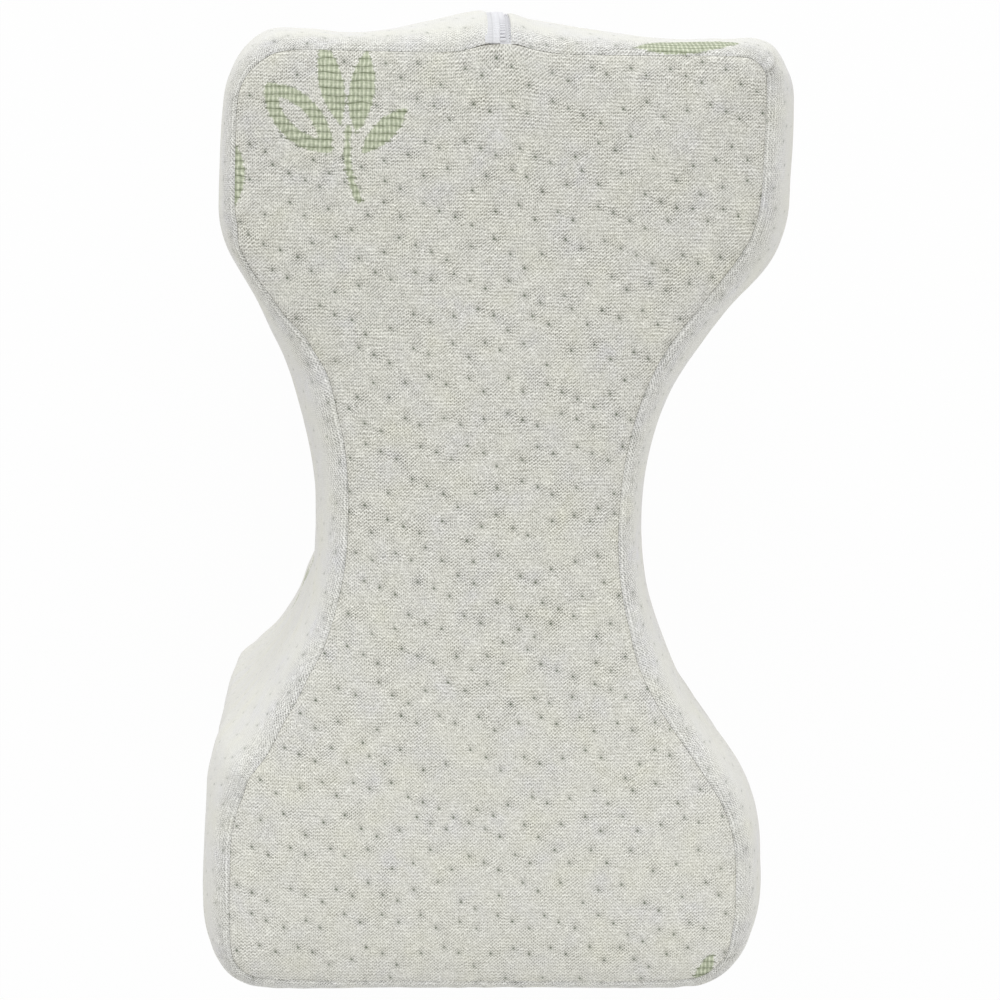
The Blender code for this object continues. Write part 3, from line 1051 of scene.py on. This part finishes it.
def knitMaterial(name, tuckStrength, tint=(1, 1, 1), faded=None):
    # faded is how much of the contrast is left well below the seam
    material, tree, shader = startMaterial(name)
    look = knit
    plainU, plainV = lengths(tree, "cloth")
    offU, offV = lengths(tree, "tuck")
    away = lengthOf(offU, offV)
    pinch = away.bell(look["pinchReach"]) * look["pinch"]

    def swayed(plain, off, slow, fine):
        # The cloth's length with the pull of the tucks and the uneven knit
        length = plain + off * pinch + plainNoise(plainU, plainV, *slow) * look["sway"]
        return length + plainNoise(plainU, plainV, *fine) * look["waver"]

    u = swayed(plainU, offU, (5.0,), (1.3, 3.0))
    v = swayed(plainV, offV, (5.5, 7.0), (1.5, 5.0))
    lower = plainV.between(60, -20) if faded is None else None
    # Tighter knit beside each tuck
    beside = lengthOf(offU - 0.6, offV * math.sqrt(2)).bell(2.0)
    tone = stitchTone(u, v, plainU, plainV, lower) * (beside * look["tighter"] + 1.0)
    speck = speckAt((u * (3 * look["wales"]) + 0.5).floor(), (v * (2 * look["courses"]) + 0.5).floor())
    fuzz = noiseAt(u, v, 0.30, 2.0, 2.0)
    tone = tone + (speck - 0.5) * (2 * look["speckle"]) + fuzz * look["fuzz"]
    tone = tone + plainNoise(plainU * 0.3, plainV, 1.0, 6.0) * look["streak"]
    if faded is not None:
        depth = plainV.step("MINIMUM", plainV * -1.0 + place["wallHeight"] / mm + 8.0)
        tone = tone * (1.0 - depth.between(1.5, 10) * (1 - faded))
    else:
        tone = tone * (1.0 - plainV.between(20, -120) * 0.2)
    centreU = plainU - offU
    centreV = plainV - offV
    strength = (plainNoise(centreU, centreV, 3.1, 11.0) * 0.35 + 0.95) * tuckStrength
    if faded is not None:
        strength = strength * (1.0 - depth.between(1, 22) * 0.45)
    # The tuck's dark: partly grey-green yarn, partly painted shade in its dimple
    core = away.bell(tuckShade["core"])
    arms = [leaning(offU, offV, tuckShade[arm]) for arm in ("tail", "arm")]
    # Painted shade in a faint fan above each tuck
    fan = (offU + 0.1).bell(0.6) * (offV - 0.6).bell(0.7) * tuckShade["fan"]
    dark = (core.step("MAXIMUM", arms[0]).step("MAXIMUM", arms[1]) + fan) * strength
    leafAway = attribute(tree, "leaf")
    leafEdge = leafAway + (speck - 0.5) * 0.5 + noiseAt(plainU, plainV, 2.0, 5.0) * 0.25
    leaf = 1.0 - leafEdge.between(-leafLook["edge"], leafLook["edge"])
    reach = 1.0 - (leafEdge - 0.45).between(-0.2, 0.2)
    rib = (u * (1 / leafLook["rib"])).wave()
    evenCourse = v * (1 / leafLook["course"])
    uneven = plainNoise(u, v, 1.2, 9.0) * 0.5 + 0.85
    line = courseLine(evenCourse + plainNoise(plainU, plainV, 6.0, 2.0) * 0.07) * uneven
    warmth = noiseAt(plainU, plainV, 11.0, 1.0) * 0.5 + 0.45
    cloth = mixed(tree, warmth, tinted(look["grey"], tint), tinted(look["warm"], tint))
    plainness = noiseAt(plainU, plainV, 3.0, 4.0) * 0.8 + 0.35
    cloth = mixed(tree, plainness, cloth, tinted(look["colour"], tint))
    haloAndPaintedShade = (leafEdge - 0.55).bell(0.55) * 0.07
    if faded is None:
        # Painted shade: the face's cloth is made a little darker towards the zip's end
        haloAndPaintedShade = haloAndPaintedShade - plainV.between(60, 120) * 0.045
    else:
        # Painted shade in the seam's crease, and painted shade of the groove beside its ridge, in patches
        patches = plainNoise(plainU, plainV, 14.0, 8.0) * 0.8 + 0.7
        haloAndPaintedShade = haloAndPaintedShade - depth.bell(0.35) * 0.09 - (depth - 1.75).bell(0.26) * patches * 0.10
    cloth = raised(tree, shaded(tree, cloth, tone * look["tone"] + haloAndPaintedShade + 1.0), tone * look["shift"])
    cloth = mixed(tree, dark, cloth, look["tuckYarnAndShade"])
    halfCourse = (v * (2 / leafLook["course"])).wave()
    share = rib * 0.34 + halfCourse * 0.14 + plainNoise(u, v, 0.9, 6.0) * 0.32 + 0.42
    green = mixed(tree, share, leafLook["colour"], leafLook["pale"])
    green = shaded(tree, green, (speck - 0.5) * 0.2 + fuzz * 0.12 + 1.0)
    inked = mixed(tree, leaf, cloth, green)
    inked = mixed(tree, line * reach * 0.88, inked, leafLook["line"])
    tree.links.new(inked, shader.inputs["Base Color"])
    # The relief leaves out the leaf's rough edge, so that the render stays quick
    onLeaf = 1.0 - leafAway.between(-0.25, 0.25)
    height = tone * (1.0 - onLeaf) * 2.4 + rib * onLeaf * 0.7 - courseLine(evenCourse) * onLeaf * 0.95
    height = height - core * (1.45 * tuckStrength)
    addBump(tree, shader, height, look["bump"])
    shader.inputs["Roughness"].default_value = look["roughness"]
    shader.inputs["Specular IOR Level"].default_value = look["specular"]
    shader.inputs["Sheen Weight"].default_value = look["sheen"]
    shader.inputs["Sheen Roughness"].default_value = look["sheenRoughness"]
    return material


def objectLengths(tree):
    node = tree.nodes.new("ShaderNodeTexCoord")
    split = tree.nodes.new("ShaderNodeSeparateXYZ")
    tree.links.new(node.outputs["Object"], split.inputs[0])
    return [Wire(tree, socket) * 1000.0 for socket in split.outputs]


def tapeMaterial():
    material, tree, shader = startMaterial("zipTape")
    x, y, z = objectLengths(tree)
    weave = (x * 2.4 + z * 1.7).wave() * 0.5 + (x * 2.4 - z * 1.7).wave() * 0.5
    across = (x - place["zipX"] / mm).step("ABSOLUTE")
    # Painted shadow: a thin darker line on each tape beside its coil
    groove = (across - 1.85).bell(0.2)
    # Darker between the stitches of the row
    between = 0.5 - (attribute(tree, "down") * (mm / zipLook["stitchPitch"])).wave() * 0.5
    between = between * (across - zipLook["stitchAt"] / mm).bell(0.6)
    base = mixed(tree, noiseAt(x, z, 3.0) * 0.5 + 0.5, *zipLook["tapeColours"])
    colour = shaded(tree, base, weave * 0.04 - groove * 0.13 - between * 0.13 + 1.0)
    tree.links.new(colour, shader.inputs["Base Color"])
    addBump(tree, shader, weave, 0.05 * mm)
    shader.inputs["Roughness"].default_value = zipLook["tapeRoughness"]
    return material


def coilMaterial():
    material, tree, shader = startMaterial("zipCoil")
    shader.inputs["Base Color"].default_value = (*zipLook["coilColour"], 1.0)
    shader.inputs["Roughness"].default_value = zipLook["coilRoughness"]
    return material


def metalMaterial():
    material, tree, shader = startMaterial("zipMetal")
    x, y, z = objectLengths(tree)
    wear = noiseAt(x, z, 1.6, 2.0)
    colour = mixed(tree, wear * 0.3 + 0.5, *zipLook["metalColours"])
    tree.links.new(colour, shader.inputs["Base Color"])
    shader.inputs["Roughness"].default_value = zipLook["metalRoughness"]
    return material


# The zip: two tapes, two rows of coil and a slider with its pull
zipLook = {
    "tapeInner": 0.04 * mm,
    "tapeOuter": 3.8 * mm,
    "tapeHigh": -0.3 * mm,
    "tapeThick": 0.6 * mm,
    "tapeEnd": 0.35 * mm,
    "toothPitch": 1.08 * mm,
    "toothInner": -0.06 * mm,
    "toothOuter": 1.5 * mm,
    "toothRadius": 0.33 * mm,
    "coilHigh": 0.34 * mm,
    "stitchAt": 2.45 * mm,
    "stitchPitch": 0.95 * mm,
    "stitchLength": 0.68 * mm,
    "stitchRadius": 0.2 * mm,
    "sliderHeight": 42 * mm,
    "steps": 500,
    "tapeColours": ((0.785, 0.78, 0.80), (0.82, 0.815, 0.83)),
    "tapeRoughness": 0.85,
    "coilColour": (0.83, 0.825, 0.85),
    "coilRoughness": 0.38,
    "metalColours": ((0.74, 0.74, 0.76), (0.82, 0.82, 0.84)),
    "metalRoughness": 0.36,
}


def zipLine(steps):
    # Down the middle of the top wall: points, outward directions, and lengths along it
    below = place["wallHeight"] / 2 * (1 - np.cos(np.linspace(0, math.pi, steps)))
    points, direction = wallSurface(np.full(steps, zipLength()), below)
    gaps = np.linalg.norm(np.diff(points, axis=0), axis=1)
    return points, direction, np.concatenate([[0], np.cumsum(gaps)])


def buildTape(side, mirror):
    points, direction, along = zipLine(150)
    piece = newGrid("zipTape" + side, 8, len(points))
    across = np.linspace(zipLook["tapeInner"], zipLook["tapeOuter"], 8) * mirror
    flat = []
    for point, outward, length in zip(points, direction, along):
        for dx in across:
            sag = 0.12 * mm * math.sin(math.pi * abs(dx) / zipLook["tapeOuter"])
            rise = zipLook["tapeEnd"] * math.exp(-length / (0.9 * mm))
            flat.append(point + outward * (zipLook["tapeHigh"] - sag + rise) + np.array([dx, 0, 0]))
    setPoints(piece, flat)
    setLengths(piece, np.repeat(along, 8))
    solid = piece.modifiers.new("thickness", "SOLIDIFY")
    solid.thickness = zipLook["tapeThick"]
    solid.offset = -1
    applyModifiers(piece)
    fixNormals(piece)
    thread = buildThread(side, mirror)
    return joinPieces([piece, thread], "zipTape" + side)


def setLengths(piece, values):
    # How far down the zip each point is, in millimetres
    layer = piece.data.attributes.new("down", "FLOAT", "POINT")
    layer.data.foreach_set("value", (np.asarray(values) / mm).astype(np.float32))


def buildThread(side, mirror):
    # A row of stitches along the tape: one stitch, set down again at each pitch
    template, faces = roundBar(zipLook["stitchRadius"], zipLook["stitchLength"], 6, 0.06 * mm)
    points, direction, along = zipLine(zipLook["steps"])
    verts, allFaces, lengthsDown = [], [], []
    for index in range(1, int(along[-1] / zipLook["stitchPitch"]) - 1):
        at = index * zipLook["stitchPitch"]
        spot, outward, down = zipFrame(at, points, direction, along)
        centre = spot + outward * (zipLook["tapeHigh"] + 0.05 * mm)
        centre = centre + np.array([zipLook["stitchAt"] * mirror, 0, 0])
        start = len(verts)
        for x, y, z in template:
            verts.append(centre + np.array([z, 0, 0]) + outward * y + down * x)
            lengthsDown.append(at + x)
        allFaces += [tuple(start + k for k in face) for face in faces]
    thread = meshPiece("thread" + side, verts, allFaces)
    setLengths(thread, lengthsDown)
    return thread


def roundBar(radius, length, sides, bevelWidth):
    # A bar along X with its ends rounded over
    deselectAll()
    bpy.ops.mesh.primitive_cylinder_add(vertices=sides, radius=radius, depth=length, end_fill_type="NGON")
    bar = bpy.context.active_object
    bpy.ops.transform.rotate(value=math.pi / 2, orient_axis="Y", center_override=(0, 0, 0))
    bpy.ops.object.transform_apply(location=True, rotation=True, scale=True)
    bevel = bar.modifiers.new("ends", "BEVEL")
    bevel.width = bevelWidth
    bevel.segments = 1
    bevel.limit_method = "ANGLE"
    bevel.angle_limit = math.radians(70)
    applyModifiers(bar)
    template = getPoints(bar)
    faces = [tuple(face.vertices) for face in bar.data.polygons]
    bpy.data.objects.remove(bar, do_unlink=True)
    return template, faces


def meshPiece(name, verts, faces):
    mesh = bpy.data.meshes.new(name)
    mesh.from_pydata([tuple(v) for v in verts], [], faces)
    piece = bpy.data.objects.new(name, mesh)
    bpy.context.scene.collection.objects.link(piece)
    fixNormals(piece)
    return piece


def zipFrame(at, points, direction, along):
    # The place, outward and downward directions at a length down the zip
    spot = np.array([np.interp(at, along, points[:, k]) for k in range(3)])
    outward = np.array([np.interp(at, along, direction[:, k]) for k in range(3)])
    outward[0] = 0
    outward /= np.linalg.norm(outward)
    return spot, outward, np.array([0, outward[2], -outward[1]])


def buildCoil(side, mirror):
    # The tooth is set down again at each pitch, the two rows half a pitch apart
    wide = zipLook["toothOuter"] - zipLook["toothInner"]
    template, faces = roundBar(zipLook["toothRadius"], wide, 10, 0.11 * mm)
    points, direction, along = zipLine(zipLook["steps"])
    middle = (zipLook["toothOuter"] + zipLook["toothInner"]) / 2 * mirror
    verts, allFaces = [], []
    for index in range(int(along[-1] / zipLook["toothPitch"]) - 1):
        at = (index + 0.75 + (0.25 if mirror > 0 else -0.25)) * zipLook["toothPitch"]
        spot, outward, down = zipFrame(at, points, direction, along)
        centre = spot + outward * (zipLook["coilHigh"] - zipLook["toothRadius"]) + np.array([middle, 0, 0])
        start = len(verts)
        for x, y, z in template:
            lean = x * mirror * 0.10
            verts.append(centre + np.array([x, 0, 0]) + outward * y * 1.15 + down * (z + lean))
        allFaces += [tuple(start + k for k in face) for face in faces]
    return meshPiece("zipCoil" + side, verts, allFaces)


def frameAt(height):
    # The place on the zip at a height, with its outward direction
    points, direction, along = zipLine(zipLook["steps"])
    order = np.argsort(points[:, 2])
    spot = np.array([np.interp(height, points[order, 2], points[order, k]) for k in range(3)])
    outward = np.array([np.interp(height, points[order, 2], direction[order, k]) for k in range(3)])
    outward[0] = 0
    return spot, outward / np.linalg.norm(outward)


def laidOnZip(piece, height):
    # A piece modelled with X across, Y along the zip towards the face, and Z outwards
    spot, outward = frameAt(height)
    towards = np.array([0, -outward[2], outward[1]])
    points = getPoints(piece)
    placed = spot + points[:, 1:2] * towards + points[:, 2:] * outward
    placed[:, 0] = place["zipX"] + points[:, 0]
    setPoints(piece, placed)
    fixNormals(piece)


def roundedBox(name, low, high, bevel, segments=3):
    deselectAll()
    bpy.ops.mesh.primitive_cube_add(size=1)
    piece = bpy.context.active_object
    piece.name = name
    piece.data.name = name
    low, high = np.array(low) * mm, np.array(high) * mm
    setPoints(piece, low + (getPoints(piece) + 0.5) * (high - low))
    edge = piece.modifiers.new("edge", "BEVEL")
    edge.width = bevel * mm
    edge.segments = segments
    applyModifiers(piece)
    return piece


def joinPieces(pieces, name):
    deselectAll()
    for piece in pieces:
        piece.select_set(True)
    bpy.context.view_layer.objects.active = pieces[0]
    bpy.ops.object.join()
    pieces[0].name = name
    pieces[0].data.name = name
    return pieces[0]


def taperFront(piece, amount):
    # Widens the end towards the face, as a slider's two shoulders do
    points = getPoints(piece)
    share = smoothStep(-1.5 * mm, 4.6 * mm, points[:, 1])
    points[:, 0] *= 1 - amount + amount * share
    setPoints(piece, points)


def buildSlider():
    upper = roundedBox("zipSlider", (-3.3, -4.6, 0.95), (3.3, 4.6, 2.0), 0.42)
    lower = roundedBox("sliderUnder", (-3.2, -4.4, -0.85), (3.2, 4.4, -0.62), 0.08, 2)
    rails = []
    for mirror in (-1, 1):
        rail = roundedBox("sliderRail", (-0.42, -4.3, -0.75), (0.42, 4.1, 1.4), 0.2, 2)
        points = getPoints(rail)
        points[:, 0] += mirror * 2.72 * mm
        setPoints(rail, points)
        rails.append(rail)
    pieces = [upper, lower] + rails
    for piece in pieces:
        taperFront(piece, 0.14)
    bridge = [
        roundedBox("bridgeBack", (-0.7, -2.6, 1.8), (0.7, -1.7, 3.7), 0.22, 2),
        roundedBox("bridgeFront", (-0.7, 1.7, 1.8), (0.7, 2.6, 3.7), 0.22, 2),
        roundedBox("bridgeTop", (-0.7, -2.6, 3.15), (0.7, 2.6, 3.95), 0.28, 2),
    ]
    slider = joinPieces(pieces + bridge, "zipSlider")
    laidOnZip(slider, zipLook["sliderHeight"])
    return slider


def buildPull():
    # A tab with an eye at one end, which the bridge runs through
    deselectAll()
    bpy.ops.mesh.primitive_grid_add(x_subdivisions=16, y_subdivisions=64, size=1)
    piece = bpy.context.active_object
    piece.name = "zipPull"
    piece.data.name = "zipPull"
    points = getPoints(piece)
    along = (points[:, 1] + 0.5) * 19.4 * mm - 0.4 * mm
    waist = smoothStep(3 * mm, 9 * mm, along) * (1 - smoothStep(11 * mm, 17 * mm, along))
    half = 2.35 * mm - 0.55 * mm * waist
    start = np.clip((along + 0.4 * mm) / (1.6 * mm), 0, 1)
    finish = np.clip((19 * mm - along) / (2.35 * mm), 0, 1)
    half = half * np.sqrt(1 - (1 - start) ** 2 * 0.85) * np.sqrt(np.maximum(1 - (1 - finish) ** 2, 0.02))
    points[:, 0] *= 2 * half
    points[:, 1] = along
    points[:, 2] = 2.9 * mm
    setPoints(piece, points)
    makeActive(piece)
    inHole = (np.abs(points[:, 0]) < 1.05 * mm) & (points[:, 1] > 0.5 * mm) & (points[:, 1] < 3.3 * mm)
    bpy.context.tool_settings.mesh_select_mode = (True, False, False)
    bpy.ops.object.mode_set(mode="EDIT")
    bpy.ops.mesh.select_all(action="DESELECT")
    bpy.ops.object.mode_set(mode="OBJECT")
    piece.data.vertices.foreach_set("select", inHole)
    bpy.ops.object.mode_set(mode="EDIT")
    bpy.ops.mesh.delete(type="VERT")
    bpy.ops.object.mode_set(mode="OBJECT")
    solid = piece.modifiers.new("thickness", "SOLIDIFY")
    solid.thickness = 0.55 * mm
    solid.offset = -1
    edge = piece.modifiers.new("edge", "BEVEL")
    edge.width = 0.14 * mm
    edge.segments = 2
    edge.limit_method = "ANGLE"
    applyModifiers(piece)
    laidOnZip(piece, zipLook["sliderHeight"])
    return piece


print("making the zip")
tapes = {"left": buildTape("Left", -1), "right": buildTape("Right", 1)}
coils = {"left": buildCoil("Left", -1), "right": buildCoil("Right", 1)}
zipSlider = buildSlider()
zipPull = buildPull()

print("making the materials")
# The boxing's copy of the knit is painted lighter and bluer, standing in for the brighter, cooler light on
# the walls
boxingCloth = knitMaterial("knittedBoxing", 0.6, tint=(1.045, 1.05, 1.085), faded=0.22)
panelCloth = knitMaterial("knittedPanel", 0.95)
tapeCloth = tapeMaterial()
coilNylon = coilMaterial()
sliderMetal = metalMaterial()
dressing = [
    (pillowBoxing, boxingCloth, "filled_boxing", "knitted_cover"),
    (frontPanel, panelCloth, "front_panel", "face_cloth"),
    (backPanel, panelCloth, "back_panel", "face_cloth"),
    (tapes["left"], tapeCloth, "zip_tape_left", "zip_tape"),
    (tapes["right"], tapeCloth, "zip_tape_right", "zip_tape"),
    (coils["left"], coilNylon, "zip_coil_left", "zip_coil"),
    (coils["right"], coilNylon, "zip_coil_right", "zip_coil"),
    (zipSlider, sliderMetal, "zip_slider", "zip_metal"),
    (zipPull, sliderMetal, "zip_pull", "zip_metal"),
]
for piece, material, node, slotName in dressing:
    piece.data.materials.clear()
    piece.data.materials.append(material)
    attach(piece, "root")
    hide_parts(node)


def loopArea(line):
    following = np.roll(line, -1, 0)
    return abs((line[:, 0] * following[:, 1] - following[:, 0] * line[:, 1]).sum()) / 2


for piece in (frontPanel, backPanel):
    loopArea(panelLine)

# Floor, light and camera
studio = {
    "floor": 0.948,
    "world": 0.60,
    "worldSlope": 0.28,
    "key": {"spot": (-0.28, 1.8, 0.75), "size": 1.0, "watts": 11.3, "tint": (0.93, 0.97, 1.0)},
    "front": {"spot": (0.08, -0.3, 1.0), "size": 0.6, "watts": 2.22, "tint": (0.97, 1.0, 1.0)},
}


def buildFloor():
    deselectAll()
    bpy.ops.mesh.primitive_plane_add(size=12, location=(0, 0, 0))
    floor = bpy.context.active_object
    floor.name = "floor"
    material, tree, shader = startMaterial("paleFloor")
    shader.inputs["Base Color"].default_value = (0.05, 0.05, 0.05, 1)
    shader.inputs["Roughness"].default_value = 1.0
    shader.inputs["Specular IOR Level"].default_value = 0.0
    shader.inputs["Emission Color"].default_value = (1, 1, 1, 1)
    shader.inputs["Emission Strength"].default_value = studio["floor"]
    floor.data.materials.append(material)


def buildLight(name, spot, aim, size, watts, tint=(1, 1, 1)):
    lamp = bpy.data.lights.new(name, "AREA")
    lamp.shape = "DISK"
    lamp.size = size
    lamp.energy = watts
    lamp.color = tint
    thing = bpy.data.objects.new(name, lamp)
    bpy.context.scene.collection.objects.link(thing)
    thing.visible_camera = False
    thing.location = spot
    thing.rotation_euler = (Vector(aim) - Vector(spot)).to_track_quat("-Z", "Y").to_euler()


def buildWorld():
    world = bpy.data.worlds.new("studio")
    bpy.context.scene.world = world
    world.use_nodes = True
    background = world.node_tree.nodes["Background"]
    background.inputs["Color"].default_value = (1, 1, 1, 1)
    # A little brighter towards the zip's end of the studio
    tree = world.node_tree
    way = tree.nodes.new("ShaderNodeTexCoord")
    split = tree.nodes.new("ShaderNodeSeparateXYZ")
    tree.links.new(way.outputs["Generated"], split.inputs[0])
    strength = Wire(tree, split.outputs["Y"]) * studio["worldSlope"] + studio["world"]
    tree.links.new(strength.socket, background.inputs["Strength"])


photoCamera = {
    "spot": (-31.6 * mm, 67.9 * mm, 838.5 * mm),
    "aim": (0.05 * mm, 1.75 * mm, 200 * mm),
    "roll": 0.0171,
    "lens": 91.1,
}


def buildCamera():
    camera = bpy.data.cameras.new("camera")
    camera.lens = photoCamera["lens"]
    camera.sensor_width = 36
    camera.sensor_fit = "HORIZONTAL"
    camera.clip_start = 0.01
    thing = bpy.data.objects.new("camera", camera)
    bpy.context.scene.collection.objects.link(thing)
    spot = Vector(photoCamera["spot"])
    forward = (Vector(photoCamera["aim"]) - spot).normalized()
    right = forward.cross(Vector((0, 1, 0))).normalized()
    upward = right.cross(forward)
    c, s = math.cos(photoCamera["roll"]), math.sin(photoCamera["roll"])
    turnedRight = right * c + upward * s
    turnedUp = upward * c - right * s
    turn = Matrix((turnedRight, turnedUp, -forward)).transposed()
    thing.matrix_world = Matrix.Translation(spot) @ turn.to_4x4()
    bpy.context.scene.camera = thing


print("making the stage")
buildFloor()
buildWorld()
for name in ("key", "front"):
    lamp = studio[name]
    buildLight(name + "Light", lamp["spot"], (0, 0, 0.15), lamp["size"], lamp["watts"], lamp["tint"])
buildCamera()
bpy.context.scene.view_settings.view_transform = "Standard"
